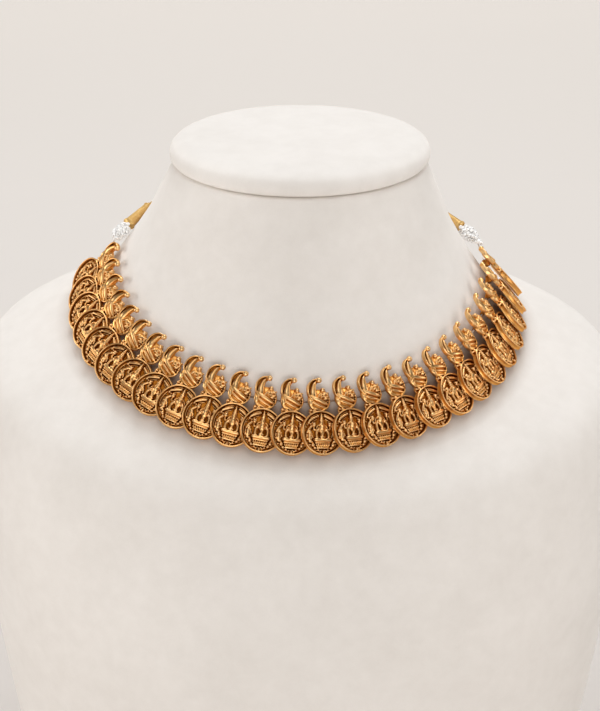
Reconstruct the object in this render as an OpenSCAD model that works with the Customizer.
// Temple jewellery necklace on a plain neck bust, in millimetres.
// The origin is the middle of the bust's flat base, Z is up and the front faces -Y.
// Twenty-six cast units, each a curled motif over an oval medallion, lie on a tilted ring.

/* [Necklace line] */
// Radius of the ring that the units' curled tips lie on
ring_r = 77.3; // [75:0.1:79.5]
// Height of the middle of that ring above the base
ring_z = 258.3; // [253:0.1:262]
// How far the front of the ring hangs down, in degrees
ring_tilt = 21.7; // [19:0.1:24]
// How much lower the ring hangs at its right side, in degrees
ring_roll = 2; // [-3:0.1:3]
// Distance from one curled tip to the next
tip_pitch = 9.94; // [9.85:0.01:10.3]
// Angle by which the row has slipped round to the right
row_shift = 2.7; // [-4:0.1:4]
// Slope of the front units below the ring's plane, in degrees
flare_front = 33.8; // [30:0.2:37]
// Slope of the neck below the ring's plane at the nape, in degrees
flare_nape = 87.5; // [80:0.5:90]

/* [Curled motif] */
// Height from the middle of the tip ball to the foot of the bulb
motif_h = 13; // [12.5:0.1:14]
// Radius of the bulb
bulb_r = 4.7; // [4.4:0.05:4.9]
// Outer radius of the curl
curl_r = 4.5; // [4.2:0.05:4.7]
// Radius of the ball on the tip
tip_r = 1.2; // [1:0.05:1.4]
// Radius of the round wire that edges the motif
wire_r = 0.45; // [0.35:0.05:0.6]
// Thickness of the cast plate behind the relief
plate_t = 1.2; // [0.9:0.1:1.5]

/* [Medallion] */
// Width of the oval
medallion_w = 17.4; // [16:0.1:18]
// Height of the oval
medallion_h = 18.2; // [17:0.1:19.5]
// Height of its rim above the back
rim_h = 2.4; // [2:0.1:2.8]
// Width of its rim
rim_w = 0.95; // [0.7:0.05:1.2]
// Height of the seated figure above the back
figure_h = 2.2; // [1.8:0.1:2.4]
// Height of the canopy and the attendants above the back
canopy_h = 1.9; // [1.6:0.1:2.1]

/* [Stringing] */
// Length of the tube soldered behind each motif
tube_l = 4; // [3:0.1:5]
// Wall of that tube
tube_wall = 0.3; // [0.25:0.05:0.4]
// Radius of the stringing thread
thread_r = 0.3; // [0.2:0.05:0.4]
// Gap between the thread or cord and its bores
thread_gap = 0.15; // [0.1:0.05:0.2]

/* [Ends and back cord] */
// Length of the bunch of seed beads at each end
bunch_l = 9; // [7:0.5:11]
// Greatest radius of that bunch
bunch_r = 3.2; // [2.6:0.1:3.4]
// Length of the gold cone behind it
cone_l = 15; // [12:0.5:17]
// Radius of the cone's wide end
cone_base_r = 2.5; // [2.1:0.1:2.8]
// Radius of the cone's narrow end
cone_tip_r = 1.5; // [1.4:0.05:1.8]
// Radius of the cord round the nape
cord_r = 1; // [0.8:0.05:1.1]
// Length of the barrel that joins the cord behind the neck
slider_l = 12; // [9:0.5:15]
// Radius of that barrel
slider_r = 3; // [2.5:0.1:3.5]

/* [Neck bust] */
// Height of the bust with its cap
bust_h = 310; // [305:1:325]
// Greatest width across the torso
bust_w = 284; // [264:2:300]
// Reach of the chest in front of the torso's middle line
chest_d = 122; // [118:1:130]
// Reach of the back behind the torso's middle line
back_d = 74; // [72:1:84]
// How far the torso's middle line lies behind the neck's
torso_set_back = 8; // [4:0.5:12]
// Reach of the ring's plane at the nape, behind the neck's middle
nape_r = 60; // [56:0.5:64]
// How much narrower the neck is across its back half
nape_pinch = 18; // [8:1:22]
// Width of the oval cap
cap_w = 109; // [104:1:114]
// Depth of the oval cap
cap_d = 104; // [98:1:110]
// Height of the oval cap
cap_h = 10; // [8:0.5:13]
// How far the cap stands out past the neck under it
cap_reach = 1.5; // [0.5:0.5:3]

/* [Clearances] */
// Gap between the necklace and the bust
seat_gap = 0.3; // [0.2:0.05:0.6]
// Gap between neighbouring medallions where they overlap
lap_gap = 0.45; // [0.35:0.05:0.6]
// Gap between the pieces on the thread, and under the cap
piece_gap = 0.3; // [0.2:0.05:0.5]

/* [Hidden] */
$fn = 48;
// A cast relief is sunk this far into the plate that it grows from
sink = 0.4;
// How far the motif's foot runs into the medallion's rim where they are soldered
solder_lap = 0.4;
// Width of a bar's straight part, as a share of its round ends
bar_waist = 0.92;
unit_count = 26;
unit_names = [for (n = [1:unit_count]) str("unit_", n < 10 ? "0" : "", n)];

unit_step = 2 * asin(tip_pitch / 2 / ring_r);
// The neck's middle stands this far behind the middle of the bust's depth
neck_y = (chest_d - back_d) / 2 - torso_set_back;
bore_r = thread_r + thread_gap;
tube_r = bore_r + tube_wall;

// Places in a unit: X across, Y up to the tip ball at the origin, Z out from the back
bulb_at = [-0.08 * bulb_r, bulb_r - motif_h];
curl_at = [-0.17, -0.84] * curl_r;
medallion_at = [0, solder_lap - motif_h - medallion_h / 2];

// Columns of the relief tables
X1 = 0;
Y1 = 1;
X2 = 2;
Y2 = 3;
R = 4;

// Round hollows that open the curl: x, y and radius, as shares of the curl's radius
curl_hollows = [[0.36, -0.32, 0.68], [-0.05, -0.73, 0.36]];

// Sashes over the bulb, as shares of the bulb's radius from its middle
sashes = [
    [-0.60, 0.32, 0.62, -0.36, 0.110],
    [-0.74, 0.08, 0.46, -0.59, 0.070],
    [-0.74, -0.20, 0.22, -0.76, 0.095],
];

// Granules beside the curl, as shares of the bulb's radius: x, y and radius
granules = [[0.41, 0.91, 0.19], [0.20, 0.60, 0.13], [0.84, 0.36, 0.12], [0.52, 0.24, 0.11]];
coil_at = [0.58, 0.56];

// One side of the canopy and attendants, as shares of the medallion's height
attendants = [
    [0.077, 0.374, 0.291, 0.275, 0.022],
    [0.240, 0.150, 0.350, 0.018, 0.024],
    [0.187, 0.195, 0.187, 0.165, 0.032],
    [0.255, -0.022, 0.300, -0.110, 0.034],
    [0.300, -0.185, 0.345, -0.150, 0.026],
    [0.240, -0.280, 0.245, -0.275, 0.026],
    [0.187, -0.330, 0.190, -0.328, 0.030],
    [0.095, -0.400, 0.100, -0.398, 0.026],
];

// One side of the seated figure's limbs, as shares of the medallion's height
limbs = [
    [0.070, 0.055, 0.128, 0.010, 0.022],
    [0.128, 0.010, 0.126, -0.130, 0.018],
    [0, -0.155, 0.150, -0.150, 0.028],
    [0, -0.215, 0.165, -0.212, 0.018],
];

// Half outlines of the crown, the torso and the pedestal, as shares of the same height
crown = [[0.055, 0.160], [0.034, 0.225], [0.040, 0.232], [0.026, 0.300], [0.032, 0.306], [0.012, 0.420]];
torso = [[0.085, 0.060], [0.045, -0.030], [0.060, -0.125]];
pedestal = [[0.172, -0.215], [0.150, -0.262], [0.160, -0.268], [0.135, -0.335]];

// Neck between the necklace and the cap: share of the height, share of the spread
neck_rows = [[0.20, 0.77], [0.42, 0.49], [0.60, 0.36], [0.80, 0.17], [1, 0]];

// Torso below the necklace: shares of the height, the half width, the chest and the back
torso_rows = [
    [0, 0.80, 0.845, 0.84],
    [0.025, 0.835, 0.880, 0.875],
    [0.16, 0.885, 0.930, 0.920],
    [0.38, 0.947, 0.975, 0.965],
    [0.55, 0.985, 1.000, 0.990],
    [0.72, 1.000, 0.985, 1.000],
    [0.85, 0.985, 0.950, 0.990],
    [0.91, 0.955, 0.920, 0.975],
    [0.95, 0.890, 0.890, 0.950],
];

// Rounded edge of the cap: share of its height, inset as a share of its height
cap_rows = [
    [0, 0.30],
    [0.06, 0.12],
    [0.20, 0.03],
    [0.40, 0],
    [0.60, 0.05],
    [0.76, 0.15],
    [0.90, 0.36],
    [0.97, 0.62],
    [1, 1.1],
];

bust_sides = 60;
cord_sides = 8;

function turn_x(p, a) = [p.x, p.y * cos(a) - p.z * sin(a), p.y * sin(a) + p.z * cos(a)];
function turn_y(p, a) = [p.x * cos(a) + p.z * sin(a), p.y, p.z * cos(a) - p.x * sin(a)];
function turn_z(p, a) = [p.x * cos(a) - p.y * sin(a), p.x * sin(a) + p.y * cos(a), p.z];
function unit_vector(v) = v / norm(v);
function backwards(list) = [for (i = [len(list) - 1:-1:0]) list[i]];
function ease(s) = let (c = min(1, max(0, s))) c * c * (3 - 2 * c);

// The ring's frame: turned to its tilt and roll, and lifted to its height
function from_ring(p) = turn_y(turn_x(p, ring_tilt), ring_roll) + [0, neck_y, ring_z];
function unit_angle(n) = row_shift + unit_step * (n - (unit_count + 1) / 2);

// Slope of a unit, or of the neck under it, at angle t from the front
function flare(t) = flare_front + (flare_nape - flare_front) * pow((1 - cos(t)) / 2, 1.5);

// Angle by which a unit lifts its left edge clear over the neighbour's right edge, from
// what is needed at the top and at the foot of the part where the medallions overlap
lap_top = motif_h + 0.12 * medallion_h;
lap_foot = motif_h + 0.88 * medallion_h;
function lean_at(t, l) =
    let (
        pitch = (ring_r + l * cos(flare(t))) * unit_step * PI / 180,
        drop = l * (flare(t) - flare(t - unit_step)) * PI / 180
    )
    asin((rim_h + lap_gap + drop) / pitch);
function lean(t) = max(lean_at(t, lap_top), lean_at(t, lap_foot));

// Depths below the tips' line: of the thread, and of the bust under the unit
function thread_depth(t) = tip_r + (bulb_at.x + bulb_r) * sin(lean(t)) + thread_r + thread_gap;
function seat_depth(t) =
    seat_gap + max(tip_r + medallion_w / 2 * sin(lean(t)), thread_depth(t) + tube_r);

// A point of unit n, from the unit's own frame before it leans
function from_slot(n, p) =
    let (t = unit_angle(n))
    from_ring(turn_z(turn_x(p, flare(t)) + [0, -ring_r, 0], t));

// The neck at angle t from the front: a point u down its slope, lifted off its surface
function neck_point(t, u, lift) =
    let (
        c = cos(t),
        base = [sin(t) * (ring_r - (c > 0 ? 0 : nape_pinch * c * c)), -c * (c > 0 ? ring_r : nape_r), 0],
        d = seat_depth(t) - lift,
        f = flare(t)
    )
    from_ring(base + (u * cos(f) - d * sin(f)) * [sin(t), -c, 0] - [0, 0, u * sin(f) + d * cos(f)]);

seat_l = motif_h + medallion_h + 1;
neck_top_z = bust_h - cap_h - piece_gap;
function oval_point(t, w, d, z) = [w / 2 * sin(t), neck_y - d / 2 * cos(t), z];

function neck_ring(row) = [for (i = [0:bust_sides - 1])
    let (
        t = i * 360 / bust_sides,
        low = neck_point(t, 0, 0),
        top = oval_point(t, cap_w - 2 * cap_reach, cap_d - 2 * cap_reach, neck_top_z),
        p = top + row[1] * (low - top)
    )
    [p.x, p.y, low.z + row[0] * (top.z - low.z)]];

function torso_ring(row) = [for (i = [0:bust_sides - 1])
    let (
        t = i * 360 / bust_sides,
        depth = cos(t) > 0 ? row[2] * chest_d : row[3] * back_d
    )
    [row[1] * bust_w / 2 * sin(t), neck_y + torso_set_back - depth * cos(t), row[0] * neck_point(t, seat_l, 0).z]];

function seat_ring(u) = [for (i = [0:bust_sides - 1]) neck_point(i * 360 / bust_sides, u, 0)];

// A closed solid through rings of equally many points, the lowest ring first
module loft(rings) {
    n = len(rings[0]);
    last = (len(rings) - 1) * n;
    sides = [for (k = [0:len(rings) - 2], i = [0:n - 1])
        let (a = k * n + i, b = k * n + (i + 1) % n)
        each [[a, a + n, b + n], [a, b + n, b]]];
    ends = [[for (i = [0:n - 1]) i], [for (i = [n - 1:-1:0]) last + i]];
    polyhedron(points = [for (r = rings) each r], faces = concat(ends, sides));
}

// A round tube along a route that lies near the ring's plane
module tube(route, r) {
    up = from_ring([0, 0, 1]) - from_ring([0, 0, 0]);
    last = len(route) - 1;
    rings = [for (k = [0:last])
        let (
            d = unit_vector(route[min(k + 1, last)] - route[max(k - 1, 0)]),
            side = unit_vector(cross(d, up)),
            top = cross(side, d)
        )
        [for (i = [0:cord_sides - 1])
            let (a = -i * 360 / cord_sides)
            route[k] + r * (cos(a) * side + sin(a) * top)]];
    loft(rings);
}

// Stands a piece that runs along Z on the line from p to q
module along(p, q) {
    d = q - p;
    translate(p) rotate([0, acos(d.z / norm(d)), atan2(d.y, d.x)]) children();
}

// Puts a unit, or what is behind it, into its place on the ring
module at_slot(n) {
    translate([0, neck_y, ring_z]) rotate([ring_tilt, ring_roll, 0]) rotate([0, 0, unit_angle(n)])
    translate([0, -ring_r, 0]) rotate([flare(unit_angle(n)), 0, 0]) children();
}

// A flat relief with its top at height h over the back
module raised(h) {
    translate([0, 0, plate_t - sink]) linear_extrude(h - plate_t + sink) children();
}

module bar(row, scale_r) {
    p = [row[X1], row[Y1]] * scale_r;
    q = [row[X2], row[Y2]] * scale_r;
    r = row[R] * scale_r;
    translate(p) circle(r);
    translate(q) circle(r);
    half = bar_waist * r;
    translate(p) rotate(atan2(q.y - p.y, q.x - p.x)) translate([0, -half]) square([norm(q - p), 2 * half]);
}

module both_sides() {
    children();
    mirror([1, 0, 0]) children();
}

module half_outline(table) {
    right = [for (p = table) p * medallion_h];
    left = [for (i = [len(table) - 1:-1:0]) [-right[i].x, right[i].y]];
    polygon(concat(right, left));
}

module oval(w, h) {
    steps = 48;
    polygon([for (i = [0:steps - 1]) [w / 2 * cos(i * 360 / steps), h / 2 * sin(i * 360 / steps)]]);
}

// A ball whose poles and seam lie away from the front
module ball(r) {
    rotate([0, 90, 0]) sphere(r);
}

// A round stud that stands on the plate and narrows to its top
module stud(r, top) {
    rotate_extrude() polygon([
        [0, plate_t - sink],
        [r, plate_t - sink],
        [r, top - r / 2],
        [0.8 * r, top - r / 5],
        [0.45 * r, top],
        [0, top]]);
}

module round_wire(r, from, sweep) {
    rotate([0, 0, from]) rotate_extrude(angle = sweep) translate([r - wire_r, 0]) circle(wire_r);
}

module curled_motif() {
    linear_extrude(plate_t) difference() {
        union() {
            translate(curl_at) circle(curl_r);
            translate(bulb_at) circle(bulb_r);
        }
        for (h = curl_hollows) translate([h.x, h.y] * curl_r) circle(h.z * curl_r);
    }
    sphere_r = 1.3 * bulb_r;
    bulb_top = rim_h - wire_r;
    translate([bulb_at.x, bulb_at.y, bulb_top - sphere_r]) intersection() {
        ball(sphere_r);
        translate([0, 0, sphere_r - bulb_top + plate_t - sink]) cylinder(r = 0.82 * bulb_r, h = bulb_top);
    }
    translate(concat(curl_at, plate_t)) round_wire(curl_r, 78, 142);
    translate(concat(bulb_at, plate_t)) round_wire(bulb_r, 172, 250);
    translate(bulb_at) raised(rim_h) for (s = sashes) bar(s, bulb_r);
    for (g = granules) translate(bulb_at + [g.x, g.y] * bulb_r)
        stud(g.z * bulb_r, plate_t + wire_r + g.z * bulb_r);
    translate(concat(bulb_at + coil_at * bulb_r, bulb_top - wire_r)) rotate_extrude()
        translate([0.16 * bulb_r, 0]) circle(wire_r / 2);
    translate([0, 0, tip_r]) ball(tip_r);
    translate([-0.62 * bulb_r, -motif_h]) stud(0.65 * tip_r, 1.65 * tip_r);
}

module medallion() {
    linear_extrude(plate_t) oval(medallion_w, medallion_h);
    linear_extrude(rim_h) difference() {
        oval(medallion_w, medallion_h);
        oval(medallion_w - 2 * rim_w, medallion_h - 2 * rim_w);
    }
    raised(canopy_h) {
        both_sides() for (a = attendants) bar(a, medallion_h);
        half_outline(pedestal);
        translate([-0.02 * medallion_h, rim_w / 2 - medallion_h / 2]) square([0.04 * medallion_h, 0.08 * medallion_h]);
    }
    raised(figure_h) {
        half_outline(crown);
        half_outline(torso);
        both_sides() for (b = limbs) bar(b, medallion_h);
    }
    head_r = 0.056 * medallion_h;
    translate([0, 0.105 * medallion_h]) stud(head_r, figure_h + head_r / 4);
    knee_r = 0.042 * medallion_h;
    both_sides() translate([0.165 * medallion_h, -0.150 * medallion_h]) stud(knee_r, figure_h + knee_r / 4);
}

// The tube behind a unit lies along the ring, with a web up to the leaning plate
module back_tube(n) {
    depth = thread_depth(unit_angle(n));
    translate([-tube_l / 2, bulb_at.y, -depth]) {
        rotate([0, 90, 0]) cylinder(r = tube_r, h = tube_l);
        translate([0, -0.7 * tube_r, 0]) cube([tube_l, 1.4 * tube_r, depth - tip_r + plate_t / 4]);
    }
}

module back_bore(n) {
    translate([-tube_l, bulb_at.y, -thread_depth(unit_angle(n))]) rotate([0, 90, 0])
        cylinder(r = bore_r, h = 2 * tube_l);
}

module unit(n) {
    color("goldenrod") at_slot(n) difference() {
        union() {
            rotate([0, lean(unit_angle(n)), 0]) translate([0, 0, -tip_r]) {
                curled_motif();
                translate(concat(medallion_at, 0)) medallion();
            }
            back_tube(n);
        }
        back_bore(n);
    }
}

// The two ends of the row: side -1 is on the left with unit 1, side 1 on the right
function end_unit(side) = side < 0 ? 1 : unit_count;
motif_reach = curl_r - curl_at.x + 3 * thread_r;
function end_angle(side) =
    let (past_middle = ring_r * sin(abs(unit_angle(end_unit(side))) - 90))
    90 + asin((past_middle + motif_reach + 2 * thread_r) / nape_r);
// A place beside the neck, at a length past the end of the row
function end_point(side, l, lift) = neck_point(side * (end_angle(side) + l / nape_r * 180 / PI), 0, lift);

// The bunch and the cone lie on one straight line, which stands off the neck by the bulge
// of the neck under it
end_l = bunch_l + piece_gap + cone_l;
neck_bulge = end_l * end_l / 8 * ring_r / (nape_r * nape_r);
end_start_lift = bunch_r + seat_gap + neck_bulge;
end_stop_lift = cone_base_r + seat_gap + 0.8 * neck_bulge;
function on_end_line(side, l) =
    let (p = end_point(side, 0, end_start_lift), q = end_point(side, end_l, end_stop_lift))
    p + l * unit_vector(q - p);
cone_at = bunch_l + piece_gap;
thread_end_at = cone_at + 0.35 * cone_l;
cord_end_at = thread_end_at + 2 * piece_gap;

module bead_bunch(side) {
    // Half lengths and radii of the bunch, as shares of its length and its radius
    outline = [[0, 0.45], [0.08, 0.72], [0.28, 1], [0.62, 0.98], [0.88, 0.74], [1, 0.55]];
    color("white") along(on_end_line(side, 0), on_end_line(side, bunch_l)) rotate_extrude() polygon(concat(
        [[bore_r, 0]],
        [for (p = outline) [p[1] * bunch_r, p[0] * bunch_l]],
        [[bore_r, bunch_l]]));
}

module cone(side) {
    split = thread_end_at + piece_gap - cone_at;
    cord_bore_r = cord_r + thread_gap;
    color("gold") along(on_end_line(side, cone_at), on_end_line(side, end_l)) rotate_extrude() polygon([
        [bore_r, 0],
        [cone_base_r, 0],
        [cone_base_r, cone_l * 0.04],
        [cone_tip_r, cone_l],
        [cord_bore_r, cone_l],
        [cord_bore_r, split],
        [bore_r, split]]);
}

// The thread leaves the outermost tube past the motif's edge, then enters the beads
function thread_lead(side) =
    let (n = end_unit(side))
    [
        on_end_line(side, thread_end_at),
        on_end_line(side, -2 * thread_r),
        from_slot(n, [side * motif_reach, bulb_at.y, -thread_depth(unit_angle(n))]),
    ];

module string_thread() {
    past = tube_l / 2 + thread_r;
    row = [for (n = [1:unit_count], e = [-1, 1])
        from_slot(n, [e * past, bulb_at.y, -thread_depth(unit_angle(n))])];
    color("ivory") tube(concat(thread_lead(-1), row, backwards(thread_lead(1))), thread_r);
}

// Along the nape the cord lies on the neck, and rises into the barrel
slider_lift = 1.2 * slider_r + seat_gap;
slider_half = (slider_l / 2 + 1) / nape_r * 180 / PI;
slider_rise = 16;
function cord_lift(t) =
    let (off = 180 - t, low = cord_r + seat_gap)
    low + (slider_lift - low) * ease((slider_half + slider_rise - off) / slider_rise);
function cord_half(side) =
    let (
        first = end_angle(side) + (end_l + 6 * cord_r) / nape_r * 180 / PI,
        last = 180 - slider_half,
        steps = 16
    )
    concat(
        [on_end_line(side, cord_end_at), on_end_line(side, end_l + cord_r)],
        [for (i = [0:steps]) let (t = first + i * (last - first) / steps) neck_point(side * t, 0, cord_lift(t))]);

module back_cord() {
    color("darkgoldenrod") tube(concat(cord_half(1), backwards(cord_half(-1))), cord_r);
}

module cord_slider() {
    p = neck_point(180 - slider_half, 0, slider_lift);
    q = neck_point(180 + slider_half, 0, slider_lift);
    middle = (p + q) / 2;
    d = unit_vector(q - p) * slider_l / 2;
    cord_bore_r = cord_r + thread_gap;
    color("goldenrod") along(middle - d, middle + d) rotate_extrude() polygon([
        [cord_bore_r, 0],
        [slider_r * 0.7, 0],
        [slider_r, slider_l * 0.2],
        [slider_r, slider_l * 0.8],
        [slider_r * 0.7, slider_l],
        [cord_bore_r, slider_l]]);
}

module display_bust() {
    color("ivory") loft(concat(
        [for (row = torso_rows) torso_ring(row)],
        [seat_ring(seat_l), seat_ring(seat_l / 2), seat_ring(0)],
        [for (row = neck_rows) neck_ring(row)]));
}

module bust_cap() {
    color("linen") loft([for (row = cap_rows) [for (i = [0:bust_sides - 1])
        oval_point(i * 360 / bust_sides, cap_w - 2 * row[1] * cap_h, cap_d - 2 * row[1] * cap_h,
            bust_h - cap_h + row[0] * cap_h)]]);
}

display_bust();
bust_cap();
for (n = [1:unit_count]) {
    unit(n);
}
string_thread();
bead_bunch(-1);  // bead_bunch_left
bead_bunch(1);  // bead_bunch_right
cone(-1);  // cone_left
cone(1);  // cone_right
back_cord();
cord_slider();
